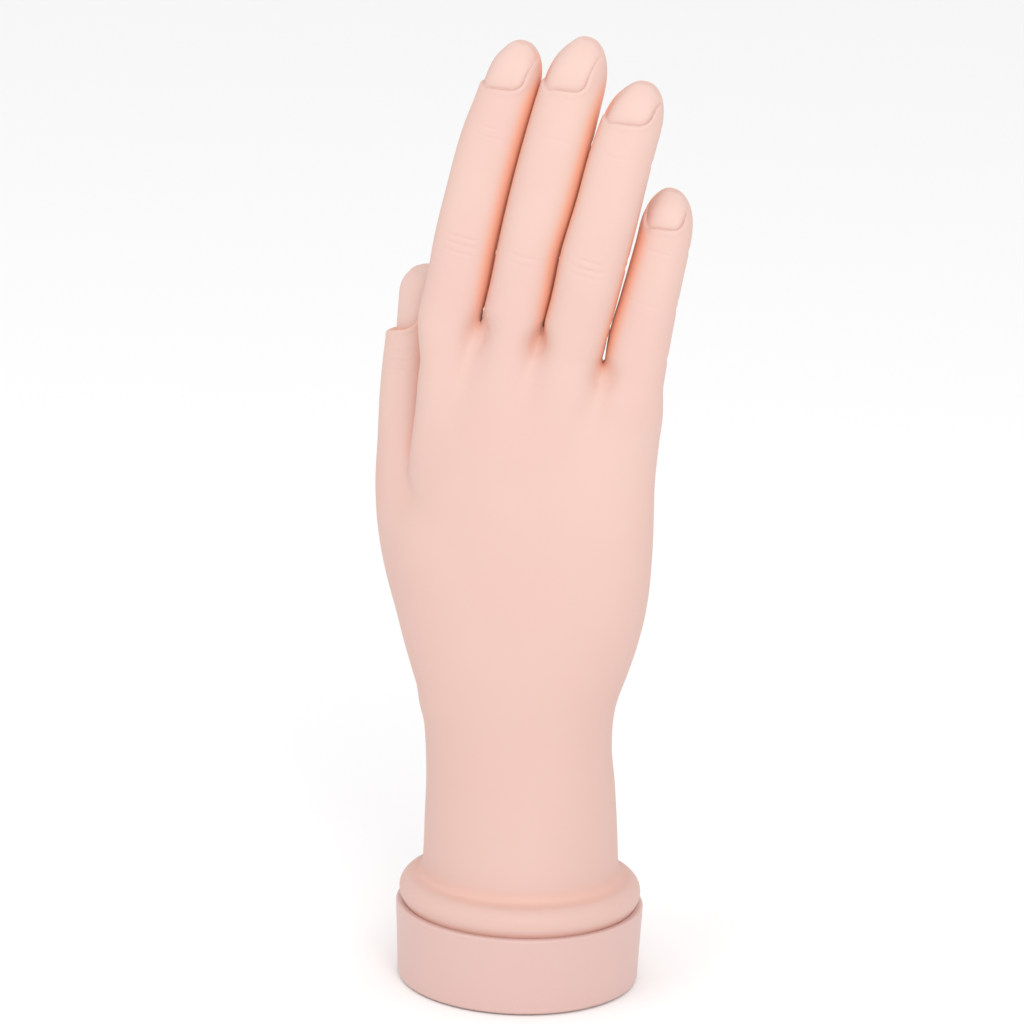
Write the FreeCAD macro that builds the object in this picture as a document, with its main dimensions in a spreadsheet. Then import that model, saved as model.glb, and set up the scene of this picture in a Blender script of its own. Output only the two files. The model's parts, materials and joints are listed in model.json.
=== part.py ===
import FreeCAD, Part
import os
import Sketcher

# A soft vinyl practice hand on a round swivel base, in millimetres.
# The origin is the middle of the resting face, +Z is up, the back of the hand looks along -Y,
# the palm along +Y and the thumb is on the -X side.
# A hollow vinyl skin is pulled over a rigid core. Every finger has three short bones that
# turn on friction pins, the thumb has two, and the whole hand turns on a screw in its base.

Vector = FreeCAD.Vector
Placement = FreeCAD.Placement
Rotation = FreeCAD.Rotation
X_AXIS = Vector(1, 0, 0)
Y_AXIS = Vector(0, 1, 0)
Z_AXIS = Vector(0, 0, 1)

COMMON_SIZES = {
    # base cup, its pad and the swivel
    "pad_radius": 31.4,
    "pad_height": 2.0,
    "cup_bottom": 0.4,
    "cup_foot_radius": 34.0,
    "cup_rim_radius": 35.0,
    "cup_rim_inside": 32.6,
    "cup_inside": 32.2,
    "cup_height": 22.5,
    "cup_floor": 8.0,
    "cup_edge_fillet": 1.0,
    "cup_rim_fillet": 0.7,
    "pad_recess_radius": 31.7,
    "head_recess_radius": 7.0,
    "head_recess_top": 5.0,
    "screw_head_radius": 6.5,
    "screw_head_bottom": 2.3,
    "screw_head_top": 4.9,
    "shoulder_radius": 3.0,
    "shank_radius": 2.5,
    "shank_top": 23.0,
    "washer_radius": 14.0,
    "washer_height": 1.0,
    "running_clearance": 0.05,
    "press_clearance": 0.01,
    # wrist plug, which fills the open end of the skin
    "plug_flange_radius": 31.4,
    "plug_flange_height": 2.5,
    "plug_barrel_radius": 23.6,
    "plug_barrel_top": 28.0,
    "plug_neck_radius": 15.0,
    "plug_top": 40.0,
    "socket_bottom": 29.0,
    "socket_clearance": 0.05,
    "core_screw_radius": 1.5,
    "core_screw_head_radius": 2.8,
    "core_screw_head_height": 2.0,
    "core_screw_spacing": 9.0,
    "core_screw_height": 34.5,
    # rigid core in the palm
    "tail_width": 16.0,
    "tail_depth": 6.0,
    "tail_top": 76.0,
    "plate_bottom": 70.0,
    "plate_top": 152.0,
    "plate_depth": 4.0,
    "plate_top_width": 50.0,
    "strut_width": 6.0,
    "fork_length": 10.0,
    "core_gap": 0.4,
    # bones and pins
    "bone_width": 8.0,
    "eye_radius": 3.6,
    "tongue_width": 3.0,
    "slot_width": 3.3,
    "eye_relief": 0.8,
    "pin_radius": 1.25,
    "pin_length": 7.9,
    "tip_bone": 5.0,
    # skin
    "bone_gap": 0.25,
    "skin_gap": 0.2,
    "skin_overlap": 0.5,
    "cutter_reach": 14.0,
    "cutter_width": 30.0,
    "cut_margin": 1.5,
    "skin_wall": 3.5,
    "bead_middle_radius": 29.3,
    "bead_radius": 4.8,
    "bead_height": 26.9,
    "skirt_radius": 31.5,
    "flange_bore": 24.0,
    "flange_top": 34.0,
    # half of what each hinge bends is cut from the skin on both sides of its pin
    "root_flexion": 30.0,
    "root_extension": 8.0,
    "mid_flexion": 65.0,
    "tip_flexion": 40.0,
    "thumb_root_flexion": 35.0,
    "thumb_root_extension": 10.0,
    "thumb_tip_flexion": 45.0,
    "no_extension": 0.0,
}

# Each digit: its knuckle pin, the lengths of its segments, how far it leans to +X and rolls
# about +Z, how each segment bends towards the palm, and its half widths at the joints.
DIGIT_SIZES = {
    "index": {
        "knuckle_x": -24.8, "knuckle_y": 0.5, "knuckle_z": 192.5,
        "proximal": 16.9, "middle": 31.7, "distal": 26.2, "lean": 12.4, "roll": 0.0,
        "proximal_bend": 1.5, "middle_bend": 4.5, "distal_bend": 9.0,
        "root_width": 7.7, "mid_width": 7.75, "tip_width": 7.7, "nail_width": 7.1,
        "foot_x": -26.6, "foot_z": 170.0, "strut_x": -20.0, "strut_z": 142.0,
    },
    "middle": {
        "knuckle_x": -7.2, "knuckle_y": -1.5, "knuckle_z": 193.0,
        "proximal": 16.4, "middle": 31.7, "distal": 27.6, "lean": 12.4, "roll": 0.0,
        "proximal_bend": 1.5, "middle_bend": 4.5, "distal_bend": 9.0,
        "root_width": 8.7, "mid_width": 8.75, "tip_width": 8.6, "nail_width": 7.6,
        "foot_x": -10.5, "foot_z": 170.0, "strut_x": -8.0, "strut_z": 142.0,
    },
    "ring": {
        "knuckle_x": 11.4, "knuckle_y": -0.5, "knuckle_z": 190.5,
        "proximal": 17.4, "middle": 28.7, "distal": 21.2, "lean": 12.4, "roll": 0.0,
        "proximal_bend": 1.5, "middle_bend": 4.5, "distal_bend": 9.0,
        "root_width": 8.8, "mid_width": 8.8, "tip_width": 8.4, "nail_width": 7.2,
        "foot_x": 7.5, "foot_z": 168.0, "strut_x": 5.0, "strut_z": 142.0,
    },
    "little": {
        "knuckle_x": 27.1, "knuckle_y": 2.0, "knuckle_z": 181.5,
        "proximal": 13.6, "middle": 15.0, "distal": 17.7, "lean": 12.4, "roll": 0.0,
        "proximal_bend": 1.5, "middle_bend": 4.5, "distal_bend": 9.0,
        "root_width": 8.0, "mid_width": 7.6, "tip_width": 7.0, "nail_width": 6.0,
        "foot_x": 24.6, "foot_z": 163.0, "strut_x": 16.0, "strut_z": 142.0,
    },
    "thumb": {
        "knuckle_x": -37.2, "knuckle_y": 16.0, "knuckle_z": 147.0,
        "proximal": 25.6, "distal": 26.8, "lean": -2.5, "roll": -28.0,
        "proximal_bend": 3.5, "distal_bend": 7.0,
        "root_width": 9.0, "tip_width": 8.1, "nail_width": 7.2,
        "strut_x": -15.0, "strut_z": 110.0,
    },
}

# Sections of the palm and wrist from below: height, middle in X and Y, half width, half depth.
PALM_SECTIONS = {
    "cuff": (29.0, 0.0, 0.0, 28.4, 28.0),
    "wrist_low": (36.5, 0.0, 0.0, 27.8, 27.0),
    "wrist_mid": (50.0, -0.4, 0.0, 27.0, 23.0),
    "wrist_narrow": (69.0, -1.4, 0.0, 26.4, 19.5),
    "heel": (90.0, -1.4, 0.0, 29.8, 18.5),
    "palm_low": (107.0, -2.2, 0.3, 33.6, 17.5),
    "palm_mid": (124.0, -2.6, 0.6, 35.6, 16.0),
    "palm_wide": (140.0, -1.8, 0.6, 35.6, 14.0),
    "palm_high": (158.0, -0.4, 0.4, 34.2, 12.2),
    "palm_top": (176.0, 1.0, 0.2, 33.4, 11.2),
}

THENAR_SECTIONS = {
    "thenar_foot": (88.0, -13.0, 5.5, 12.5, 10.5),
    "thenar_low": (106.0, -21.5, 8.0, 15.2, 11.5),
    "thenar_mid": (124.0, -29.3, 11.4, 14.8, 11.3),
    "thenar_high": (137.0, -34.3, 14.2, 12.3, 10.4),
}

FINGERS = ("index", "middle", "ring", "little")
SEGMENTS = {finger: ("proximal", "middle", "distal") for finger in FINGERS}
SEGMENTS["thumb"] = ("proximal", "distal")
SECTION_FIELDS = ("height", "x", "y", "half_width", "half_depth")
DEPTH_SHARE = 0.92     # a finger's depth as a share of its width
NAIL_DEPTH_SHARE = 0.78


def all_sizes():
    """Every driving dimension by its name in the sheet."""
    sizes = dict(COMMON_SIZES)
    for digit, values in DIGIT_SIZES.items():
        for field, value in values.items():
            sizes["%s_%s" % (digit, field)] = value
    for section, values in {**PALM_SECTIONS, **THENAR_SECTIONS}.items():
        for field, value in zip(SECTION_FIELDS, values):
            sizes["%s_%s" % (section, field)] = value
    sizes["depth_share"] = DEPTH_SHARE
    sizes["nail_depth_share"] = NAIL_DEPTH_SHARE
    return sizes


document = FreeCAD.newDocument("practice_hand")
sheet = document.addObject("Spreadsheet::Sheet", "Dims")
for row, (alias, number) in enumerate(all_sizes().items(), start=1):
    sheet.set("A%d" % row, alias)
    sheet.set("B%d" % row, str(number))
    sheet.setAlias("B%d" % row, alias)
document.recompute()


def size(alias):
    """A number from the sheet."""
    return float(sheet.get(alias))


def bind(item, formulas):
    """Binds an object's properties to formulas of the sheet's cells."""
    for field, formula in formulas.items():
        item.setExpression(field, formula)


# ---------------------------------------------------------------- sketches and features

def origin_plane(body, role):
    return next(plane for plane in body.Origin.OriginFeatures if plane.Role == role)


def new_body(name):
    body = document.addObject("PartDesign::Body", name)
    body.Label = name
    return body


def new_sketch(body, role, name):
    sketch = body.newObject("Sketcher::SketchObject", name)
    sketch.AttachmentSupport = (origin_plane(body, role), [""])
    sketch.MapMode = "FlatFace"
    return sketch


def evaluate(formula):
    return float(sheet.evalExpression(formula))


def bind_point(sketch, curve, place, across, up):
    """Ties a point of a sketch to two formulas, measured from the sketch's origin."""
    for kind, formula in (("DistanceX", across), ("DistanceY", up)):
        value = evaluate(formula)
        number = sketch.addConstraint(Sketcher.Constraint(kind, -1, 1, curve, place, value))
        sketch.setExpression("Constraints[%d]" % number, formula)


def draw_polygon(sketch, corners):
    """A closed outline whose corners are pairs of formulas."""
    points = [Vector(evaluate(across), evaluate(up), 0) for across, up in corners]
    first = None
    for start, end in zip(points, points[1:] + points[:1]):
        curve = sketch.addGeometry(Part.LineSegment(start, end))
        first = curve if first is None else first
    count = len(points)
    for step in range(count):
        follower = first + (step + 1) % count
        sketch.addConstraint(Sketcher.Constraint("Coincident", first + step, 2, follower, 1))
    for step, (across, up) in enumerate(corners):
        bind_point(sketch, first + step, 1, across, up)


def draw_rectangle(sketch, left, right, bottom, top):
    draw_polygon(sketch, [(left, bottom), (right, bottom), (right, top), (left, top)])


def draw_circle(sketch, across, up, radius):
    middle = Vector(evaluate(across), evaluate(up), 0)
    circle = Part.Circle(middle, Z_AXIS, evaluate(radius))
    curve = sketch.addGeometry(circle)
    bind_point(sketch, curve, 3, across, up)
    number = sketch.addConstraint(Sketcher.Constraint("Radius", curve, evaluate(radius)))
    sketch.setExpression("Constraints[%d]" % number, radius)


def pad_both_ways(body, sketch, name, width):
    feature = body.newObject("PartDesign::Pad", name)
    feature.Profile = sketch
    feature.SideType = "Symmetric"
    feature.setExpression("Length", width)
    return feature


def cut_through(body, sketch, name):
    feature = body.newObject("PartDesign::Pocket", name)
    feature.Profile = sketch
    feature.SideType = "Symmetric"
    feature.Type = "ThroughAll"
    return feature


def revolve_profile(body, sketch, name):
    feature = body.newObject("PartDesign::Revolution", name)
    feature.Profile = sketch
    feature.ReferenceAxis = (sketch, ["V_Axis"])
    feature.Angle = 360
    return feature


def turned_part(name, corners):
    """A body turned about Z from corners given as radius and height."""
    body = new_body(name)
    sketch = new_sketch(body, "XZ_Plane", name + "_profile")
    draw_polygon(sketch, corners)
    revolve_profile(body, sketch, name + "_turned")
    document.recompute()
    return body


def expect_smaller(body, before, name):
    """A cut that points away from the solid removes nothing and shows no error."""
    document.recompute()
    if body.Shape.Volume >= before - 0.01:
        raise ValueError("nothing was cut from " + name)


# ---------------------------------------------------------------- primitives

def centred_box(name, width, depth, bottom, top):
    """A box about the local Z axis, its sizes given as formulas."""
    box = document.addObject("Part::Box", name)
    bind(box, {
        "Length": width,
        "Width": depth,
        "Height": "(%s) - (%s)" % (top, bottom),
        "Placement.Base.x": "-(%s) / 2" % width,
        "Placement.Base.y": "-(%s) / 2" % depth,
        "Placement.Base.z": bottom,
    })
    return box


def upright_cylinder(name, radius, bottom, height):
    cylinder = document.addObject("Part::Cylinder", name)
    bind(cylinder, {"Radius": radius, "Height": height, "Placement.Base.z": bottom})
    return cylinder


def ellipse(name, half_width, half_depth, across="0", inward="0", height="0"):
    curve = document.addObject("Part::Ellipse", name)
    bind(curve, {
        "MajorRadius": half_width,
        "MinorRadius": half_depth,
        "Placement.Base.x": across,
        "Placement.Base.y": inward,
        "Placement.Base.z": height,
    })
    return curve


def loft(name, sections, ruled=False):
    solid = document.addObject("Part::Loft", name)
    solid.Sections = sections
    solid.Solid = True
    solid.Ruled = ruled
    return solid


def fuse(name, shapes):
    joined = document.addObject("Part::MultiFuse", name)
    joined.Shapes = shapes
    joined.Label = name
    return joined


def cut(name, base, tool):
    result = document.addObject("Part::Cut", name)
    result.Base = base
    result.Tool = tool
    result.Label = name
    return result


# ---------------------------------------------------------------- joints

def turned(lean, bend, roll):
    """Local Z leans to +X and bends to the palm, and local X is the hinge axis."""
    return Rotation(Z_AXIS, roll) * Rotation(Y_AXIS, lean) * Rotation(X_AXIS, -bend)


def segment_frames(digit):
    """The placement of each segment of a digit, with its lower pin at the local origin."""
    pivot = Vector(*(size("%s_knuckle_%s" % (digit, axis)) for axis in "xyz"))
    frames = {}
    for segment in SEGMENTS[digit]:
        bend = size("%s_%s_bend" % (digit, segment))
        direction = turned(size(digit + "_lean"), bend, size(digit + "_roll"))
        frames[segment] = Placement(pivot, direction)
        pivot = frames[segment].multVec(Vector(0, 0, size("%s_%s" % (digit, segment))))
    return frames


def knuckle_frame(digit):
    frame = Placement(segment_frames(digit)["proximal"])
    frame.Rotation = turned(size(digit + "_lean"), 0, size(digit + "_roll"))
    return frame


FRAMES = {digit: segment_frames(digit) for digit in SEGMENTS}


def previous_segment(digit, segment):
    order = SEGMENTS[digit]
    place = order.index(segment)
    return order[place - 1] if place else None


def segment_bend(digit, segment):
    return size("%s_%s_bend" % (digit, segment)) if segment else 0.0


def joint_limits(digit, segment):
    """The sheet's names for how far the hinge at a segment's lower pin bends and extends."""
    if segment == "proximal":
        prefix = "thumb_root" if digit == "thumb" else "root"
        return prefix + "_flexion", prefix + "_extension"
    if digit == "thumb":
        return "thumb_tip_flexion", "no_extension"
    return ("mid_flexion" if segment == "middle" else "tip_flexion"), "no_extension"


# ---------------------------------------------------------------- bones and pins

def bone(name, length, has_tongue, has_fork):
    """A moulded link along local Z: a tongue at its lower pin and a fork at its upper pin."""
    body = new_body(name)
    bar = new_sketch(body, "YZ_Plane", name + "_bar_sketch")
    draw_rectangle(bar, "-Dims.eye_radius", "Dims.eye_radius", "0", length)
    pad_both_ways(body, bar, name + "_bar", "Dims.bone_width")
    eyes = new_sketch(body, "YZ_Plane", name + "_eye_sketch")
    for height in ("0", length):
        draw_circle(eyes, "0", height, "Dims.eye_radius")
    pad_both_ways(body, eyes, name + "_eyes", "Dims.bone_width")
    document.recompute()
    full_volume = body.Shape.Volume
    relief = "(Dims.eye_radius + Dims.eye_relief)"
    if has_tongue:
        sides = new_sketch(body, "XZ_Plane", name + "_tongue_sketch")
        outside = "Dims.bone_width"
        inside = "Dims.tongue_width / 2"
        draw_rectangle(sides, inside, outside, "-2 * Dims.eye_radius", relief)
        draw_rectangle(sides, "-" + outside, "-" + inside, "-2 * Dims.eye_radius", relief)
        cut_through(body, sides, name + "_tongue")
        expect_smaller(body, full_volume, name + " beside its tongue")
    if has_fork:
        slot = new_sketch(body, "XZ_Plane", name + "_slot_sketch")
        half_slot = "Dims.slot_width / 2"
        top = "%s + 2 * Dims.eye_radius" % length
        draw_rectangle(slot, "-" + half_slot, half_slot, "%s - %s" % (length, relief), top)
        before = body.Shape.Volume
        cut_through(body, slot, name + "_slot")
        expect_smaller(body, before, name + " between its ears")
    holes = new_sketch(body, "YZ_Plane", name + "_hole_sketch")
    if has_tongue:
        draw_circle(holes, "0", "0", "Dims.pin_radius + Dims.running_clearance")
    if has_fork:
        draw_circle(holes, "0", length, "Dims.pin_radius + Dims.press_clearance")
    before = body.Shape.Volume
    cut_through(body, holes, name + "_holes")
    expect_smaller(body, before, name + " for its pins")
    return body


def segment_bone(digit, segment):
    name = "%s_%s_bone" % (digit, segment)
    is_last = segment == "distal"
    length = "Dims.tip_bone" if is_last else "Dims.%s_%s" % (digit, segment)
    body = bone(name, length, has_tongue=True, has_fork=not is_last)
    body.Placement = FRAMES[digit][segment]
    return body


def hinge_pin(name, frame):
    """A pin along the local X axis of a joint."""
    pin = document.addObject("Part::Cylinder", name)
    bind(pin, {"Radius": "Dims.pin_radius", "Height": "Dims.pin_length"})
    start = Placement(Vector(-size("pin_length") / 2, 0, 0), Rotation(Y_AXIS, 90))
    pin.Placement = frame * start
    pin.Label = name
    return pin


# ---------------------------------------------------------------- digit skins

def joint_cutter(name, limits, upwards):
    """All that lies past a hinge's cut face: a wedge on the palm side lets the joint bend."""
    flexion, extension = limits
    sign = "" if upwards else "-"
    body = new_body(name)
    sketch = new_sketch(body, "YZ_Plane", name + "_sketch")
    reach = "Dims.cutter_reach"
    drop = "%s1 * -(Dims.skin_gap + %s * tan(Dims.%s / 2 + %s))"
    has_extension = size(extension) > 0
    back = drop % (sign, reach, extension, "Dims.cut_margin" if has_extension else "0")
    front = drop % (sign, reach, flexion, "Dims.cut_margin")
    middle = "%s1 * -Dims.skin_gap" % sign
    far = "%s1 * %s" % (sign, reach)
    draw_polygon(sketch, [
        ("-" + reach, back), ("0", middle), (reach, front), (reach, far), ("-" + reach, far),
    ])
    pad_both_ways(body, sketch, name + "_pad", "Dims.cutter_width")
    return body


def cutter_turn(own_bend, other_bend):
    """The cut face stands halfway between the two segments' directions."""
    return Rotation(X_AXIS, (own_bend - other_bend) / 2)


def skin_outline(digit, segment, name):
    """The outer shape of one segment of a digit, along its own Z axis."""
    length = "Dims.%s_%s" % (digit, segment)
    stations = {
        "proximal": ("root_width", "tip_width" if digit == "thumb" else "mid_width"),
        "middle": ("mid_width", "tip_width"),
        "distal": ("tip_width", "nail_width"),
    }[segment]
    lower, upper = ("Dims.%s_%s" % (digit, station) for station in stations)
    bottom = "-Dims.skin_overlap"
    depth = "Dims.depth_share"
    if segment != "distal":
        top = "%s + Dims.skin_overlap" % length
        return loft(name, [
            ellipse(name + "_low", lower, "%s * %s" % (lower, depth), height=bottom),
            ellipse(name + "_high", upper, "%s * %s" % (upper, depth), height=top),
        ], ruled=True)
    thin = "Dims.nail_depth_share"
    return loft(name, [
        ellipse(name + "_low", lower, "%s * %s" % (lower, depth), height=bottom),
        ellipse(name + "_nail_root", lower, "%s * %s" % (lower, depth), height=length + " * 0.4"),
        ellipse(name + "_nail", upper, "%s * %s" % (upper, thin), height=length + " * 0.74"),
        ellipse(name + "_pulp", upper + " * 0.72", "%s * 0.56" % upper, height=length + " * 0.93"),
        ellipse(name + "_end", upper + " * 0.3", "%s * 0.24" % upper, height=length),
    ])


def segment_skin(digit, segment):
    name = "%s_%s_skin" % (digit, segment)
    length = "Dims.%s_%s" % (digit, segment)
    bend = segment_bend(digit, segment)
    below = previous_segment(digit, segment)
    lower_cutter = joint_cutter(name + "_lower_cut", joint_limits(digit, segment), upwards=False)
    lower_cutter.Placement = Placement(Vector(), cutter_turn(bend, segment_bend(digit, below)))
    tools = [lower_cutter]
    is_last = segment == "distal"
    if not is_last:
        above = SEGMENTS[digit][SEGMENTS[digit].index(segment) + 1]
        upper_cutter = joint_cutter(name + "_upper_cut", joint_limits(digit, above), upwards=True)
        turn = cutter_turn(bend, segment_bend(digit, above))
        upper_cutter.Placement = Placement(Vector(0, 0, evaluate(length)), turn)
        tools.append(upper_cutter)
    bore_top = "Dims.tip_bone + Dims.eye_radius + Dims.bone_gap" if is_last else length + " + 2"
    tools.append(centred_box(
        name + "_bore",
        "Dims.bone_width + 2 * Dims.bone_gap",
        "2 * (Dims.eye_radius + Dims.bone_gap)",
        "-2",
        bore_top,
    ))
    skin = cut(name, skin_outline(digit, segment, name + "_outline"), fuse(name + "_tools", tools))
    skin.Placement = FRAMES[digit][segment]
    return skin


# ---------------------------------------------------------------- base and swivel

def base_pad():
    pad = upright_cylinder("base_pad", "Dims.pad_radius", "0", "Dims.pad_height")
    pad.Label = "base_pad"
    return pad


def circular_edges(shape, radius, height):
    """Names of the full circles of one radius at one height."""
    names = []
    for number, edge in enumerate(shape.Edges, start=1):
        is_circle = isinstance(edge.Curve, Part.Circle)
        if not is_circle or abs(edge.Curve.Radius - radius) > 0.01:
            continue
        if abs(edge.Curve.Center.z - height) < 0.01:
            names.append("Edge%d" % number)
    return names


def fillet_edges(body, name, edges, radius):
    rounded = body.Tip
    feature = body.newObject("PartDesign::Fillet", name)
    feature.Base = (rounded, edges)
    feature.setExpression("Radius", radius)
    document.recompute()


def base_cup():
    bore = "Dims.shoulder_radius + Dims.running_clearance"
    body = turned_part("base_cup", [
        (bore, "Dims.head_recess_top"),
        ("Dims.head_recess_radius", "Dims.head_recess_top"),
        ("Dims.head_recess_radius", "Dims.pad_height"),
        ("Dims.pad_recess_radius", "Dims.pad_height"),
        ("Dims.pad_recess_radius", "Dims.cup_bottom"),
        ("Dims.cup_foot_radius", "Dims.cup_bottom"),
        ("Dims.cup_rim_radius", "Dims.cup_height"),
        ("Dims.cup_rim_inside", "Dims.cup_height"),
        ("Dims.cup_inside", "Dims.cup_floor"),
        (bore, "Dims.cup_floor"),
    ])
    foot = circular_edges(body.Shape, size("cup_foot_radius"), size("cup_bottom"))
    fillet_edges(body, "base_cup_foot", foot, "Dims.cup_edge_fillet")
    rim = circular_edges(body.Shape, size("cup_rim_radius"), size("cup_height"))
    rim += circular_edges(body.Shape, size("cup_rim_inside"), size("cup_height"))
    fillet_edges(body, "base_cup_rim", rim, "Dims.cup_rim_fillet")
    return body


def thrust_washer():
    disc = upright_cylinder("washer_disc", "Dims.washer_radius", "Dims.cup_floor", "Dims.washer_height")
    hole_radius = "Dims.shoulder_radius + 6 * Dims.running_clearance"
    hole = upright_cylinder("washer_hole", hole_radius, "Dims.cup_floor - 1", "Dims.washer_height + 2")
    return cut("thrust_washer", disc, hole)


PLUG_BOTTOM = "(Dims.cup_floor + Dims.washer_height)"
SHANK_BORE = "Dims.shank_radius + Dims.press_clearance"


def pivot_screw():
    return turned_part("pivot_screw", [
        ("0", "Dims.screw_head_bottom"),
        ("Dims.screw_head_radius", "Dims.screw_head_bottom"),
        ("Dims.screw_head_radius", "Dims.screw_head_top"),
        ("Dims.shoulder_radius", "Dims.screw_head_top"),
        ("Dims.shoulder_radius", PLUG_BOTTOM),
        ("Dims.shank_radius", PLUG_BOTTOM),
        ("Dims.shank_radius", "Dims.shank_top"),
        ("0", "Dims.shank_top"),
    ])


def wrist_plug():
    flange_top = PLUG_BOTTOM + " + Dims.plug_flange_height"
    body = turned_part("wrist_plug", [
        (SHANK_BORE, PLUG_BOTTOM),
        ("Dims.plug_flange_radius", PLUG_BOTTOM),
        ("Dims.plug_flange_radius", flange_top),
        ("Dims.plug_barrel_radius", flange_top),
        ("Dims.plug_barrel_radius", "Dims.plug_barrel_top"),
        ("Dims.plug_neck_radius", "Dims.plug_barrel_top"),
        ("Dims.plug_neck_radius", "Dims.plug_top"),
        ("0", "Dims.plug_top"),
        ("0", "Dims.shank_top + 1"),
        (SHANK_BORE, "Dims.shank_top + 1"),
    ])
    before = body.Shape.Volume
    socket = new_sketch(body, "XY_Plane", "socket_sketch")
    socket.AttachmentOffset = Placement(Vector(0, 0, size("plug_top")), Rotation())
    half_width = "Dims.tail_width / 2 + Dims.socket_clearance"
    half_depth = "Dims.tail_depth / 2 + Dims.socket_clearance"
    draw_rectangle(socket, "-(%s)" % half_width, half_width, "-(%s)" % half_depth, half_depth)
    pocket = body.newObject("PartDesign::Pocket", "socket")
    pocket.Profile = socket
    pocket.setExpression("Length", "Dims.plug_top - Dims.socket_bottom")
    expect_smaller(body, before, "the wrist plug's socket")
    before = body.Shape.Volume
    holes = new_sketch(body, "XZ_Plane", "plug_screw_sketch")
    for side in ("-", ""):
        across = side + "Dims.core_screw_spacing / 2"
        radius = "Dims.core_screw_radius + Dims.press_clearance"
        draw_circle(holes, across, "Dims.core_screw_height", radius)
    cut_through(body, holes, "plug_screw_holes")
    expect_smaller(body, before, "the wrist plug's screw holes")
    return body


def core_screw(name, side):
    """A screw along Y through the plug's neck and the core's tail, its head on the palm side."""
    shank = document.addObject("Part::Cylinder", name + "_shank")
    bind(shank, {"Radius": "Dims.core_screw_radius", "Height": "2 * Dims.plug_neck_radius"})
    head = document.addObject("Part::Cylinder", name + "_head")
    bind(head, {
        "Radius": "Dims.core_screw_head_radius",
        "Height": "Dims.core_screw_head_height",
        "Placement.Base.z": "-Dims.core_screw_head_height",
    })
    screw = fuse(name, [shank, head])
    across = side * size("core_screw_spacing") / 2
    place = Vector(across, size("plug_neck_radius"), size("core_screw_height"))
    screw.Placement = Placement(place, Rotation(X_AXIS, 90))
    return screw


def group(name, members):
    compound = document.addObject("Part::Compound", name)
    compound.Links = members
    compound.Label = name
    return compound


# ---------------------------------------------------------------- core of the palm

def strut(name, start, end, width, clearance="0"):
    """A square bar between two points."""
    direction = end.sub(start)
    side = "%s + 2 * %s" % (width, clearance)
    bar = document.addObject("Part::Box", name)
    bind(bar, {"Length": side, "Width": side})
    bar.Height = direction.Length
    turn = Rotation(Z_AXIS, direction)
    half = size("strut_width") / 2 + evaluate(clearance)
    bar.Placement = Placement(start, turn) * Placement(Vector(-half, -half, 0), Rotation())
    return bar


def strut_ends(digit):
    """From the plate to the foot of a digit's fork."""
    foot = knuckle_frame(digit).multVec(Vector(0, 0, -size("fork_length")))
    plate_point = Vector(size(digit + "_strut_x"), 0, size(digit + "_strut_z"))
    return plate_point, foot


def knuckle_fork(digit):
    name = digit + "_fork"
    body = bone(name, "Dims.fork_length", has_tongue=False, has_fork=True)
    foot = Placement(Vector(0, 0, -size("fork_length")), Rotation())
    body.Placement = knuckle_frame(digit) * foot
    return body


def palm_plate():
    body = new_body("palm_plate")
    sketch = new_sketch(body, "XZ_Plane", "palm_plate_sketch")
    narrow = "Dims.tail_width / 2"
    wide = "Dims.plate_top_width / 2"
    draw_polygon(sketch, [
        ("-" + narrow, "Dims.plate_bottom"), (narrow, "Dims.plate_bottom"),
        (wide, "Dims.plate_top"), ("-" + wide, "Dims.plate_top"),
    ])
    pad_both_ways(body, sketch, "palm_plate_pad", "Dims.plate_depth")
    return body


def palm_core():
    """One rigid moulding: a tail for the wrist plug, a plate, and a strut and fork per digit."""
    tail = centred_box("tail", "Dims.tail_width", "Dims.tail_depth", "Dims.socket_bottom", "Dims.tail_top")
    pieces = [tail, palm_plate()]
    for digit in SEGMENTS:
        start, end = strut_ends(digit)
        pieces.append(strut(digit + "_strut", start, end, "Dims.strut_width"))
        pieces.append(knuckle_fork(digit))
    holes = []
    for side, word in ((-1, "left"), (1, "right")):
        hole = document.addObject("Part::Cylinder", word + "_tail_hole")
        bind(hole, {
            "Radius": "Dims.core_screw_radius + Dims.press_clearance",
            "Height": "2 * Dims.tail_depth",
        })
        across = side * size("core_screw_spacing") / 2
        place = Vector(across, size("tail_depth"), size("core_screw_height"))
        hole.Placement = Placement(place, Rotation(X_AXIS, 90))
        holes.append(hole)
    return cut("palm_core", fuse("core_blank", pieces), fuse("tail_holes", holes))


# ---------------------------------------------------------------- skin of the palm

def section_ellipse(section, inset):
    """One level section of the palm, thinner by the wall when it is the inside."""
    cell = "Dims.%s_" % section
    wall = " - Dims.skin_wall" if inset else ""
    name = section + ("_inside" if inset else "_outside")
    return ellipse(
        name,
        cell + "half_width" + wall,
        cell + "half_depth" + wall,
        cell + "x",
        cell + "y",
        cell + "height",
    )


def placed_ellipse(name, half_width, half_depth, frame, lift):
    """A section square to a digit, lifted along it."""
    curve = ellipse(name, half_width, half_depth)
    for axis in "xyz":
        curve.setExpression("Placement.Base." + axis, None)
    curve.Placement = frame * Placement(Vector(0, 0, lift), Rotation())
    return curve


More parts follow.
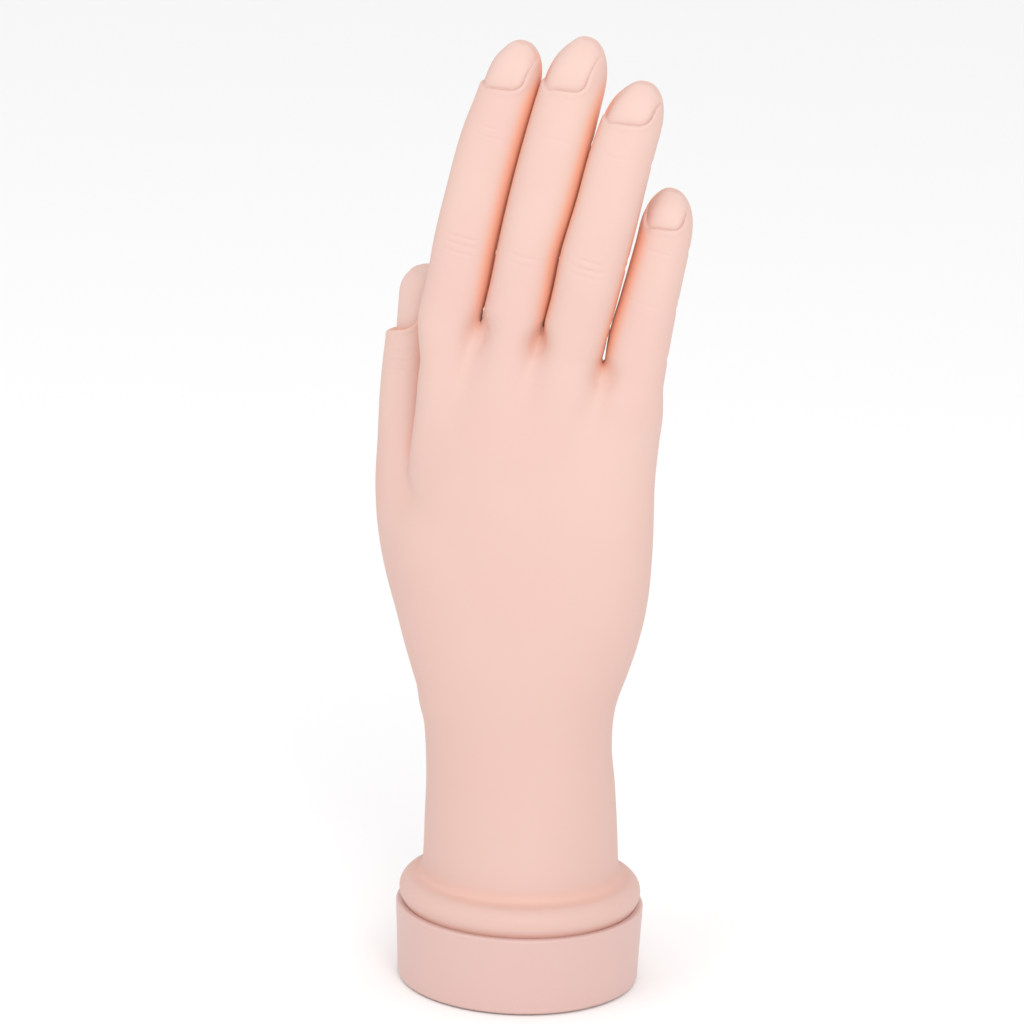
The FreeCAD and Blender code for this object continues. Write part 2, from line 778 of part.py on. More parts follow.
def knuckle_stub(digit):
    """The skin below a digit's knuckle pin, cut so that the digit can bend."""
    frame = knuckle_frame(digit)
    width = "Dims.%s_root_width" % digit
    depth = width + " * Dims.depth_share"
    top = placed_ellipse(digit + "_stub_top", width, depth, frame, size("skin_overlap"))
    if digit == "thumb":
        lower = [section_ellipse(section, inset=False) for section in THENAR_SECTIONS]
        blank = loft("thumb_stub_blank", lower + [top])
    else:
        foot = ellipse(
            digit + "_stub_foot", width, depth,
            "Dims.%s_foot_x" % digit, "Dims.%s_knuckle_y" % digit, "Dims.%s_foot_z" % digit,
        )
        blank = loft(digit + "_stub_blank", [foot, top], ruled=True)
    cutter = joint_cutter(digit + "_stub_cut", joint_limits(digit, "proximal"), upwards=True)
    half_bend = cutter_turn(0.0, segment_bend(digit, "proximal"))
    cutter.Placement = frame * Placement(Vector(), half_bend)
    return cut(digit + "_stub", blank, cutter)


def fork_bore(digit):
    """Room for a digit's fork, from below its foot to past its pin."""
    bore = centred_box(
        digit + "_fork_bore",
        "Dims.bone_width + 2 * Dims.bone_gap",
        "2 * (Dims.eye_radius + Dims.bone_gap)",
        "0",
        "Dims.fork_length + Dims.eye_radius + 6",
    )
    below = Vector(0, 0, -size("fork_length") - size("eye_radius") - 1)
    shift = Placement(below, Rotation())
    for axis in "xyz":
        bore.setExpression("Placement.Base." + axis, None)
    corner = Vector(-size("bone_width") / 2 - size("bone_gap"), -size("eye_radius") - size("bone_gap"), 0)
    bore.Placement = knuckle_frame(digit) * shift * Placement(corner, Rotation())
    return bore


def flange():
    """The beaded foot of the skin, which stands on the plug's flange inside the cup."""
    body = new_body("skin_flange")
    sketch = new_sketch(body, "XZ_Plane", "skin_flange_sketch")
    bottom = PLUG_BOTTOM + " + Dims.plug_flange_height"
    draw_rectangle(sketch, "Dims.flange_bore", "Dims.skirt_radius", bottom, "Dims.bead_height")
    revolve_profile(body, sketch, "skirt")
    bead = new_sketch(body, "XZ_Plane", "bead_sketch")
    draw_circle(bead, "Dims.bead_middle_radius", "Dims.bead_height", "Dims.bead_radius")
    revolve_profile(body, bead, "bead")
    return body


def hand_skin():
    """A hollow moulding from the flange in the cup to the knuckles."""
    outside = loft("palm_outside", [section_ellipse(section, inset=False) for section in PALM_SECTIONS])
    inside = loft("palm_inside", [section_ellipse(section, inset=True) for section in PALM_SECTIONS])
    thenar_inside = loft(
        "thenar_inside", [section_ellipse(section, inset=True) for section in THENAR_SECTIONS])
    bottom = PLUG_BOTTOM + " + Dims.plug_flange_height"
    height = "Dims.flange_top - (%s)" % bottom
    solids = [flange(), outside]
    hollows = [upright_cylinder("flange_bore", "Dims.flange_bore", bottom, height), inside, thenar_inside]
    for digit in SEGMENTS:
        solids.append(knuckle_stub(digit))
        start, end = strut_ends(digit)
        hollows.append(strut(digit + "_strut_bore", start, end, "Dims.strut_width", "Dims.core_gap"))
        hollows.append(fork_bore(digit))
    return cut("hand_skin", fuse("skin_blank", solids), fuse("skin_hollows", hollows))


# ---------------------------------------------------------------- assembly

def build_all():
    """Every sub-part, by the name of its node."""
    parts = [
        base_cup(), base_pad(), thrust_washer(), pivot_screw(), wrist_plug(),
        group("core_screws", [core_screw("left_core_screw", -1), core_screw("right_core_screw", 1)]),
        palm_core(), hand_skin(),
    ]
    knuckle_pins = [hinge_pin(finger + "_knuckle_pin", FRAMES[finger]["proximal"]) for finger in FINGERS]
    parts.append(group("knuckle_pins", knuckle_pins))
    parts.append(hinge_pin("thumb_knuckle_pin", FRAMES["thumb"]["proximal"]))
    for digit, segments in SEGMENTS.items():
        for segment in segments:
            parts.append(segment_bone(digit, segment))
            parts.append(segment_skin(digit, segment))
            if segment != "proximal":
                pin_name = "%s_%s_pin" % (digit, "mid" if segment == "middle" else "tip")
                parts.append(hinge_pin(pin_name, FRAMES[digit][segment]))
    return parts


def check_and_export(parts):
    document.recompute()
    for item in document.Objects:
        if "Invalid" in item.State or "Error" in item.State:
            raise ValueError("%s is in state %s" % (item.Name, item.State))
    os.makedirs("parts", exist_ok=True)
    for part in parts:
        shape = part.Shape
        if shape.isNull() or not shape.isValid():
            raise ValueError("bad shape: " + part.Label)
    for part in parts:
        part.Shape.exportStep("parts/%s.step" % part.Label)
        print("%s: %d solids, %.0f mm3" % (part.Label, len(part.Shape.Solids), part.Shape.Volume))


check_and_export(build_all())
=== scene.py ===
import json
from math import cos, radians, sin

import bmesh
import bpy
import numpy as np
from mathutils import Matrix, Vector

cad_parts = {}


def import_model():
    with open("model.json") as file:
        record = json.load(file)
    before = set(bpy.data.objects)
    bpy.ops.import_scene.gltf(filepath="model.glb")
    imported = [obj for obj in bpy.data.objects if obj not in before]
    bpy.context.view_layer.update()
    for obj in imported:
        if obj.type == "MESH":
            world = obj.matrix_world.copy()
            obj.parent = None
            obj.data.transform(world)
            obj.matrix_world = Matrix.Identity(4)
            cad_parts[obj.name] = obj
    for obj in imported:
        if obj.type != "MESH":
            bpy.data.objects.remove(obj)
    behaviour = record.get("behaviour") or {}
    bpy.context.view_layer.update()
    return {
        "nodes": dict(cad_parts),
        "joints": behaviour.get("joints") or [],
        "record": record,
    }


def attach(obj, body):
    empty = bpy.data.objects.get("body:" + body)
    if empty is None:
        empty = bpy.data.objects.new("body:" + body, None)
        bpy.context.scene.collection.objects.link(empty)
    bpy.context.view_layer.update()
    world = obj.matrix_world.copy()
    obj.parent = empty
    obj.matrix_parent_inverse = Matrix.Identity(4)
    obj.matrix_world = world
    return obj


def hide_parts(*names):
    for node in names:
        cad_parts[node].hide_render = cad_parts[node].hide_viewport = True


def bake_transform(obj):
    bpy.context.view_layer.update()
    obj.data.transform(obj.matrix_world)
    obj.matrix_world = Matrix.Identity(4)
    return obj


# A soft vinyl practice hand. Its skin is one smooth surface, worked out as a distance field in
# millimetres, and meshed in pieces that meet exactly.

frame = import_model()
MM = 0.001

# ---------------------------------------------------------------- places from the frame

JOINTS = {joint["name"]: joint for joint in frame["joints"]}
FINGERS = ("index", "middle", "ring", "little")
DIGITS = FINGERS + ("thumb",)


def joint_place(name):
    return np.array(JOINTS[name]["pos_m"]) / MM


def unit(vector):
    return vector / np.linalg.norm(vector)


def digit_frame(digit):
    """Root pin, and the axes across, inward to the palm and along of one digit, in millimetres."""
    root = joint_place(digit + "_root")
    hinge = np.array(JOINTS[digit + "_root"]["axis"])
    across = unit(hinge if digit == "thumb" else -hinge)
    if digit == "thumb":
        along = joint_place("thumb_tip") - root
        along = unit(along - across * (along @ across))
        inward = np.cross(along, across)
    else:
        inward = np.array([0.0, 1.0, 0.0])
        along = unit(np.cross(across, inward))
    return root, np.stack([across, inward, along])


def local(points, digit):
    root, axes = FRAMES[digit]
    return (points - root) @ axes.T


def world(points, digit):
    root, axes = FRAMES[digit]
    return points @ axes + root


FRAMES = {digit: digit_frame(digit) for digit in DIGITS}


# ---------------------------------------------------------------- field functions

def curve(stations, column):
    """A smooth curve through stations: a finely sampled table for fast lookup."""
    xs = np.array([row[0] for row in stations], float)
    ys = np.array([row[column] for row in stations], float)
    slopes = np.gradient(ys, xs)
    fine = np.linspace(xs[0], xs[-1], 400)
    cell = np.clip(np.searchsorted(xs, fine, side="right") - 1, 0, len(xs) - 2)
    width = xs[cell + 1] - xs[cell]
    t = (fine - xs[cell]) / width
    values = (
        (2 * t**3 - 3 * t**2 + 1) * ys[cell]
        + (t**3 - 2 * t**2 + t) * width * slopes[cell]
        + (-2 * t**3 + 3 * t**2) * ys[cell + 1]
        + (t**3 - t**2) * width * slopes[cell + 1]
    )
    return fine, values


def lookup(table, x):
    return np.interp(x, table[0], table[1])


def smooth_min(a, b, k):
    h = np.clip(0.5 + 0.5 * (b - a) / k, 0.0, 1.0)
    return b + (a - b) * h - k * h * (1.0 - h)


def smooth_max(a, b, k):
    return -smooth_min(-a, -b, k)


def fade(x, low, high):
    t = np.clip((x - low) / (high - low), 0.0, 1.0)
    return t * t * (3.0 - 2.0 * t)


def oval_distance(u, v, a, b, power):
    """Nearly the distance to an oval with half widths a and b."""
    pu = np.abs(u / a) + 1e-6
    pv = np.abs(v / b) + 1e-6
    k = (pu**power + pv**power) ** (1.0 / power)
    gu = (pu / k) ** (power - 1.0) / a
    gv = (pv / k) ** (power - 1.0) / b
    return (k - 1.0) / np.sqrt(gu * gu + gv * gv)


# ---------------------------------------------------------------- palm and wrist

# height, middle across, half width, middle inward, half depth, power of the oval
PALM = (
    (6.0, 0.0, 27.6, 0.0, 27.6, 2.0),
    (31.0, 0.0, 27.8, 0.0, 27.7, 2.0),
    (37.0, -0.1, 27.5, 0.0, 26.7, 2.0),
    (46.0, -0.4, 27.2, 0.2, 24.3, 2.02),
    (58.0, -0.9, 26.6, 0.3, 21.2, 2.1),
    (69.0, -1.9, 26.2, 0.3, 19.4, 2.15),
    (81.0, -2.5, 27.2, 0.2, 18.4, 2.2),
    (90.0, -2.4, 29.6, 0.2, 17.9, 2.25),
    (98.0, -2.1, 31.4, 0.3, 17.4, 2.3),
    (107.0, -1.4, 32.5, 0.5, 16.8, 2.35),
    (124.0, -1.1, 33.7, 0.9, 15.2, 2.4),
    (140.0, -0.2, 33.2, 1.2, 13.6, 2.4),
    (150.0, 0.3, 32.7, 1.3, 12.8, 2.4),
    (160.0, 1.1, 31.7, 1.4, 11.8, 2.4),
    (172.0, 1.4, 32.8, 1.6, 10.6, 2.35),
    (186.0, 2.0, 34.5, 1.9, 9.2, 2.3),
    (200.0, 2.0, 34.5, 2.0, 8.4, 2.3),
)
PALM_CURVES = [curve(PALM, column) for column in range(1, 6)]

# where the palm ends between the fingers: across, height
WEB_LINE = ((-44.0, 150.0), (-34.0, 172.0), (-26.0, 183.0), (-15.0, 186.6), (1.5, 184.6),
            (12.0, 180.5), (19.5, 175.6), (29.0, 170.0), (40.0, 164.0))
WEB_CURVE = curve(WEB_LINE, 1)

BEAD_MIDDLE = 29.7
BEAD_RADIUS = 4.4
BEAD_HEIGHT = 25.9
SKIRT_RADIUS = 32.5
SKIRT_BOTTOM = 11.7

# soft swellings of the palm side: middle, radii, height of the swelling
SWELLINGS = (
    ((22.0, 10.0, 112.0), (15.0, 13.0, 36.0), 3.4),
    ((-23.0, 9.0, 172.0), (10.0, 9.0, 12.0), 1.5),
    ((-6.5, 9.0, 174.0), (10.0, 9.0, 12.0), 1.5),
    ((10.0, 9.0, 171.0), (10.0, 9.0, 12.0), 1.5),
    ((25.0, 9.0, 164.0), (10.0, 9.0, 12.0), 1.6),
)
HOLLOW = ((3.0, 17.0, 142.0), (20.0, 12.0, 30.0), 2.2)

# valleys that run down the back from between the fingers: across and height at the top and at
# the bottom, depth and half width
VALLEYS = (
    ((-13.2, 190.0), (-21.5, 154.0), 2.1, 3.9),
    ((2.6, 187.5), (-5.5, 150.0), 1.9, 3.6),
    ((20.0, 178.5), (12.5, 140.0), 1.8, 3.5),
)

# lines of the palm: points as across and height, and depth
PALM_LINES = (
    (((-33.0, 163.0), (-24.0, 158.0), (-14.0, 146.0), (-8.0, 128.0), (-8.0, 104.0)), 0.75),
    (((-33.5, 161.0), (-20.0, 157.0), (-2.0, 150.0), (14.0, 139.0), (24.0, 126.0)), 0.6),
    (((29.0, 157.2), (20.0, 158.4), (6.0, 162.0), (-6.0, 169.0), (-11.0, 176.0)), 0.65),
    (((-17.0, 81.5), (-6.0, 80.0), (6.0, 80.0), (18.0, 82.0)), 0.5),
)
PALM_LINE_WIDTH = 0.9


def bump_at(x, y, z, middle, radii):
    """One at the middle of an egg-shaped region, fading to nothing at its edge."""
    r2 = sum(((c - m) / r) ** 2 for c, m, r in zip((x, y, z), middle, radii))
    return np.exp(-1.6 * r2)


def path_distance(x, z, points):
    """Distance in the plane across and up to a smooth open path."""
    corners = np.array(points, float)
    knots = np.arange(len(corners), dtype=float)
    fine = np.linspace(0, len(corners) - 1, 40)
    xs = np.interp(fine, knots, corners[:, 0])
    zs = np.interp(fine, knots, corners[:, 1])
    for _ in range(3):
        xs[1:-1] = (xs[:-2] + 2 * xs[1:-1] + xs[2:]) / 4
        zs[1:-1] = (zs[:-2] + 2 * zs[1:-1] + zs[2:]) / 4
    best = np.full(x.shape, 1e9)
    for step in range(len(fine) - 1):
        ax, az = xs[step], zs[step]
        bx, bz = xs[step + 1] - ax, zs[step + 1] - az
        t = np.clip(((x - ax) * bx + (z - az) * bz) / (bx * bx + bz * bz), 0, 1)
        best = np.minimum(best, (x - ax - t * bx) ** 2 + (z - az - t * bz) ** 2)
    return np.sqrt(best)


def valley_depth(x, y, z):
    """Soft grooves down the back, deepest at the top and fading away downwards."""
    total = np.zeros_like(x)
    back = fade(-y, 0.0, 5.0)
    for (top_x, top_z), (low_x, low_z), depth, width in VALLEYS:
        share = (top_z - z) / (top_z - low_z)
        away = x - (top_x + (low_x - top_x) * share)
        spread = width * (1.0 + 0.9 * np.clip(share, 0.0, 1.0))
        strength = (1.0 - fade(share, 0.05, 1.0)) * fade(share, -0.08, 0.12)
        total += depth * strength * np.exp(-((away / spread) ** 2)) * back
    return total


def palm_lines(x, y, z):
    """Depth of the lines of the palm, which fade out towards its edges."""
    total = np.zeros_like(x)
    front = (y > 2.0) & (z > 76.0) & (z < 184.0)
    if front.any():
        for path, depth in PALM_LINES:
            away = path_distance(x[front], z[front], path) / PALM_LINE_WIDTH
            total[front] += depth * np.exp(-(away**2)) * fade(y[front], 2.0, 6.0)
    return total


def palm_field(x, y, z):
    middle, half_width, inward, half_depth, power = (lookup(table, z) for table in PALM_CURVES)
    across = x - middle
    arch = fade(z, 60.0, 150.0) * 2.2 * (across / half_width) ** 2
    d = oval_distance(across, y - inward - arch, half_width, half_depth, power)
    for place, radii, height in SWELLINGS:
        d = d - height * bump_at(x, y, z, place, radii)
    place, radii, depth = HOLLOW
    d = d + depth * bump_at(x, y, z, place, radii)
    top = z - lookup(WEB_CURVE, x)
    return smooth_max(d, top * 0.82, 7.0)


def flange_field(x, y, z):
    r = np.sqrt(x * x + y * y)
    bead = np.sqrt((r - BEAD_MIDDLE) ** 2 + (z - BEAD_HEIGHT) ** 2) - BEAD_RADIUS
    skirt = smooth_max(r - SKIRT_RADIUS, z - BEAD_HEIGHT, 1.0)
    return bead, skirt


# ---------------------------------------------------------------- digits

# For each digit: stations as distance along from the root pin, offset across, offset inward,
# half width and half depth; then how the nail stands.
DIGIT_STATIONS = {
    "index": (
        (-52.0, 7.0, 5.5, 7.0, 6.5), (-36.0, 5.2, 2.6, 6.7, 7.4), (-20.0, 3.5, 0.9, 6.8, 7.7),
        (-6.0, 1.15, 0.2, 8.5, 7.6), (6.0, 0.97, 0.4, 8.72, 7.5), (16.9, 0.3, 1.0, 8.8, 7.6),
        (30.0, -0.05, 2.2, 8.7, 7.2), (47.5, 0.06, 4.0, 8.56, 7.0), (58.0, 0.8, 5.4, 8.1, 6.8),
        (74.2, 1.35, 7.8, 7.9, 6.4),
    ),
    "middle": (
        (-52.0, 4.5, 6.0, 7.5, 6.5), (-36.0, 2.2, 3.2, 8.8, 7.8), (-20.0, 1.6, 1.4, 8.7, 8.2),
        (-6.0, 1.5, 0.5, 8.55, 8.1), (6.0, 1.45, 0.5, 8.6, 8.0), (16.4, 0.9, 1.1, 8.65, 8.1),
        (30.0, 0.97, 2.0, 9.15, 7.8), (48.0, 0.92, 3.8, 9.1, 7.5), (58.0, 0.9, 5.1, 8.8, 7.2),
        (75.8, 1.4, 7.9, 7.9, 6.8),
    ),
    "ring": (
        (-52.0, 1.0, 7.0, 7.5, 6.5), (-36.0, 0.0, 3.6, 9.0, 7.8), (-20.0, -0.2, 0.8, 9.1, 8.1),
        (-6.0, 0.2, -1.2, 8.9, 8.1), (6.0, 0.4, -2.0, 8.85, 8.0), (17.4, 0.2, -2.0, 9.1, 8.1),
        (32.0, 0.35, -1.2, 8.75, 7.6), (46.0, 0.2, 0.4, 8.55, 7.2), (55.0, 0.5, 1.8, 8.2, 6.9),
        (67.3, 1.35, 3.9, 7.5, 6.3),
    ),
    "little": (
        (-50.0, -0.4, 7.0, 7.0, 6.5), (-34.0, 0.9, 3.6, 8.6, 7.6), (-20.0, 1.5, 1.4, 8.9, 8.0),
        (-8.0, 1.2, 0.0, 8.5, 7.8), (3.0, 0.2, -0.4, 8.5, 7.6), (14.8, -0.1, -0.1, 7.9, 7.3),
        (24.0, -0.3, 0.5, 7.55, 6.8), (31.0, -0.5, 1.3, 7.35, 6.5), (38.0, -1.0, 2.2, 7.15, 6.2),
        (46.3, -1.8, 3.5, 6.9, 5.8),
    ),
    "thumb": (
        (-64.0, 23.2, 2.4, 9.0, 8.5), (-52.0, 18.4, 1.6, 13.2, 10.8), (-40.0, 13.0, 0.7, 15.3, 12.2),
        (-23.0, 6.6, -0.2, 14.4, 12.2), (-10.0, 2.3, 0.1, 12.2, 11.0), (3.0, 0.0, 0.2, 10.0, 9.6),
        (16.0, -1.0, 0.4, 9.1, 8.8), (25.6, -0.85, 0.5, 8.65, 8.4), (34.0, -0.6, 1.0, 8.3, 8.2),
        (52.5, -0.1, 3.0, 8.5, 7.4),
    ),
}

# cuticle: distance along, half width of the nail bed, roll of the nail in degrees, depth of the
# bed, and how much wider the bed is on its outer side
NAILS = {
    "index": (60.6, 5.1, -12.0, 1.35, 3.6),
    "middle": (61.0, 4.8, -8.0, 1.4, 3.7),
    "ring": (55.6, 5.5, -3.0, 1.3, 3.0),
    "little": (35.8, 4.7, 2.0, 1.0, 1.0),
    "thumb": (34.0, 6.4, -12.0, 2.8, 4.0),
}
NAIL_TILT = 0.15
NAIL_SLOT = 0.4
NAIL_LIP = 0.25
NAIL_CORNER = 0.5
NAIL_OUTER_CORNER = 0.3
# where the nail bed, and the clearing of painted shade round it, end: past the outline, and down
# its sides
NAIL_BED_FADE = ((-0.9, 0.0), (0.5, 2.0))
NAIL_SHADE_CLEARING_FADE = ((1.5, 3.5), (-0.5, 1.5))

# round ends: how long they are, how blunt, and how far short of the last station they stop
CAP_LENGTH = {"index": 14.5, "middle": 15.5, "ring": 14.0, "little": 13.0, "thumb": 9.0}
CAP_POWER = 2.5
CAP_FLATTEST = 0.985
END_TRIM = 0.2
DIGIT_POWER = 2.28

# creases across each digit, on the back and on the palm side: distance along and depth
BACK_CREASES = {
    "index": ((15.4, 0.16), (17.6, 0.26), (19.6, 0.22), (47.6, 0.1), (50.0, 0.12)),
    "middle": ((13.0, 0.12), (15.4, 0.2), (48.0, 0.08)),
    "ring": ((13.6, 0.16), (15.6, 0.24), (17.8, 0.18), (46.5, 0.08)),
    "little": ((15.0, 0.1), (29.4, 0.14)),
    "thumb": ((23.0, 0.14), (25.6, 0.2), (28.0, 0.14)),
}
FRONT_CREASES = {
    "index": ((1.5, 0.55), (17.5, 0.6), (20.0, 0.35), (48.5, 0.5)),
    "middle": ((1.5, 0.55), (17.0, 0.6), (19.6, 0.35), (49.0, 0.5)),
    "ring": ((1.5, 0.55), (18.0, 0.6), (20.4, 0.35), (47.0, 0.5)),
    "little": ((1.5, 0.5), (15.4, 0.55), (17.6, 0.3), (31.6, 0.45)),
    "thumb": ((6.0, 0.4), (26.0, 0.6), (28.4, 0.3)),
}
BACK_CREASE_WIDTH = 0.5
FRONT_CREASE_WIDTH = 0.75
DIGIT_CURVES = {
    digit: [curve(rows, column) for column in range(1, 5)] for digit, rows in DIGIT_STATIONS.items()
}


def nail_values(digit, u, v, s):
    """Outline distance in the nail's own plane, distance across it, and height along its normal."""
    start, half_width, roll, _, flare = NAILS[digit]
    angle = radians(roll)
    across = u * cos(angle) + v * sin(angle)
    height = u * sin(angle) - v * cos(angle)
    corner = np.where(across < 0, NAIL_OUTER_CORNER, NAIL_CORNER) * half_width
    outer = flare * fade(s - start, -2.5, 2.0) * (across < 0)
    qx = np.abs(across) - (half_width + outer - corner)
    qy = start + corner + NAIL_TILT * across - s
    outline = (
        np.sqrt(np.maximum(qx, 0.0) ** 2 + np.maximum(qy, 0.0) ** 2)
        + np.minimum(np.maximum(qx, qy), 0.0)
        - corner
    )
    return outline, across, height


def digit_shape(digit, p):
    """Cross-section coordinates and the plain distance to one digit."""
    u, v, s = p[:, 0], p[:, 1], p[:, 2]
    offset, inward, half_width, half_depth = (lookup(table, s) for table in DIGIT_CURVES[digit])
    end = DIGIT_STATIONS[digit][-1][0] - END_TRIM
    cap = CAP_LENGTH[digit]
    share = np.clip((s - (end - cap)) / cap, 0.0, CAP_FLATTEST)
    narrowing = np.sqrt(1.0 - share**CAP_POWER)
    half_width = half_width * narrowing
    half_depth = half_depth * narrowing ** 0.9
    du = u - offset
    dv = v - inward
    d = oval_distance(du, dv, half_width, half_depth, DIGIT_POWER)
    d = smooth_max(d, s - end, 0.6)
    d = smooth_max(d, DIGIT_STATIONS[digit][0][0] - s, 3.0)
    return du, dv, s, half_width, d


def crease_depth(digit, du, dv, s, half_width):
    """Fine lines across the back, and deeper ones across the palm side, bowed along the digit."""
    side = du / np.maximum(half_width, 1.0)
    total = np.zeros_like(s)
    back = fade(-dv, 1.0, 4.0) * (1.0 - fade(np.abs(side), 0.2, 0.72))
    front = fade(dv, -1.5, 2.5)
    for place, depth in BACK_CREASES[digit]:
        away = (s - place - 0.5 * side * side) / BACK_CREASE_WIDTH
        total += back * depth * np.exp(-(away**2))
    for place, depth in FRONT_CREASES[digit]:
        away = (s - place + 0.8 * side * side) / FRONT_CREASE_WIDTH
        total += front * depth * np.exp(-(away**2))
    return total


def carve_nail(digit, d, du, dv, s):
    """Sinks the nail bed into a digit, with a slot under the cuticle and a lip round it."""
    start, nail_half, _, step, flare = NAILS[digit]
    outline, across, height = nail_values(digit, du, dv, s)
    end = DIGIT_STATIONS[digit][-1][0]
    tau = np.clip((s - start) / (end - start), 0.0, 1.0)
    reach = nail_half + 0.6 * flare * (across < 0)
    depth = step * (1.0 - 0.35 * tau) * (1.0 - 0.2 * (across / reach) ** 2)
    depth = depth * fade(height + 2.5 * (1.0 - tau), 0.0, 3.2)
    outer = fade(-across, 0.5 * nail_half, 1.1 * nail_half)
    fold = NAIL_SLOT * fade(-d, 0.25, 0.9) * (1.0 - fade(s - start, 0.5, 4.5)) * (1.0 - outer)
    hollow = smooth_max(outline - fold, -(d + depth), 0.3)
    hollow = smooth_max(hollow, 0.2 - height, 0.6)
    lip = NAIL_LIP * np.exp(-(((outline - 0.9) / 0.8) ** 2)) * (1.0 - outer)
    lip = lip * (1.0 - fade(tau, 0.2, 0.6)) * fade(height, 0.0, 2.0)
    softness = 0.45 + 2.4 * fade(tau, 0.35, 0.95) + 1.2 * outer * (digit != "thumb")
    return smooth_max(d - lip, -hollow, softness)


def digit_field(digit, points):
    """Distance to one digit, with its creases and its nail bed."""
    du, dv, s, half_width, d = digit_shape(digit, local(points, digit))
    d = d + crease_depth(digit, du, dv, s, half_width)
    near = s > NAILS[digit][0] - 4.0
    if not near.any():
        return d
    return np.where(near, carve_nail(digit, d, du, dv, s), d)


def nail_share(digit, points, fades):
    """One on the nail bed, fading out past its outline and down its sides."""
    past, top = fades
    du, dv, s, _, _ = digit_shape(digit, local(points, digit))
    outline, _, height = nail_values(digit, du, dv, s)
    return (1.0 - fade(outline, *past)) * fade(height, *top)


# ---------------------------------------------------------------- the whole skin

# where each digit's skin is cut, as distances along from its root pin
SEAMS = {
    "index": (-2.4, 6.6, 28.5),
    "middle": (-2.6, 6.4, 28.5),
    "ring": (-2.6, 7.2, 30.0),
    "little": (-2.4, 5.6, 22.0),
    "thumb": (3.6, 16.0),
}
# the slit between the thumb and the side of the hand: where it opens along the thumb, its width,
# and how far above its seam the thumb is left out of the palm
THUMB_SLIT = 2.8
THUMB_GAP = 0.35
THUMB_OVERLAP = 1.2

# how softly the parts run into each other
FINGER_MERGE = 2.6
KNUCKLE_MERGE = 3.4
THUMB_MERGE = 12.0
SLIT_MERGE = 0.15
BEAD_MERGE = 3.0
SKIRT_MERGE = 1.2
FLANGE_TOP = 60.0
OUTSIDE = 0.3


def part_by_thumb(body, thumb, points):
    """Leaves a fine slit between the thumb and the side of the hand, above their web."""
    rise = local(points, "thumb")[:, 2]
    room = THUMB_GAP - 9.0 * (1.0 - fade(rise, THUMB_SLIT - 12.0, THUMB_SLIT))
    return smooth_max(body, room - thumb, 1.2), rise


def with_flange(d, x, y, z):
    """Adds the bead and the skirt at the foot of the wrist, and the flat end."""
    low = z < FLANGE_TOP
    if not low.any():
        return d
    bead, skirt = flange_field(x, y, z)
    d = np.where(low, smooth_min(d, bead, BEAD_MERGE), d)
    d = np.where(low, smooth_min(d, skirt, SKIRT_MERGE), d)
    return np.where(low, np.maximum(d, SKIRT_BOTTOM - z), d)


def skin_field(points, only=None):
    """Distance to the whole skin.

    With only set to a digit, its neighbours are left out; set to body, the thumb is left out above
    its seam; set to no_thumb, it is left out altogether.
    """
    x, y, z = points.T
    web = lookup(WEB_CURVE, x)
    seam_softness = np.clip((web - z) * 0.22, 0.12, 4.5)
    fields = {digit: digit_field(digit, points) for digit in DIGITS}
    fingers = fields["index"]
    for digit in FINGERS[1:]:
        fingers = smooth_min(fingers, fields[digit], seam_softness)
    merge = FINGER_MERGE + KNUCKLE_MERGE * (1.0 - fade(z, 168.0, 186.0))
    hand = smooth_min(palm_field(x, y, z), fingers, merge)
    hand = hand + valley_depth(x, y, z) + palm_lines(x, y, z)
    body, rise = part_by_thumb(hand, fields["thumb"], points)
    merge = SLIT_MERGE + THUMB_MERGE * (1.0 - fade(rise, -24.0, THUMB_SLIT))
    d = smooth_min(body, fields["thumb"], merge)
    if only == "body":
        d = np.where(rise > SEAMS["thumb"][0] + THUMB_OVERLAP, body, d)
    elif only == "no_thumb":
        d = body
    d = with_flange(d, x, y, z)
    if only in DIGITS:
        mine = fields[only]
        if only == "thumb":
            d = np.where(body < mine, np.maximum(d, OUTSIDE), d)
        for digit in DIGITS:
            if digit != only:
                d = np.where(fields[digit] < mine, np.maximum(d, OUTSIDE), d)
    return d


def gradient(field, points, reach):
    columns = []
    for axis in range(3):
        step = np.zeros(3)
        step[axis] = reach
        columns.append((field(points + step) - field(points - step)) / (2 * reach))
    return np.stack(columns, axis=1)


# ---------------------------------------------------------------- meshing

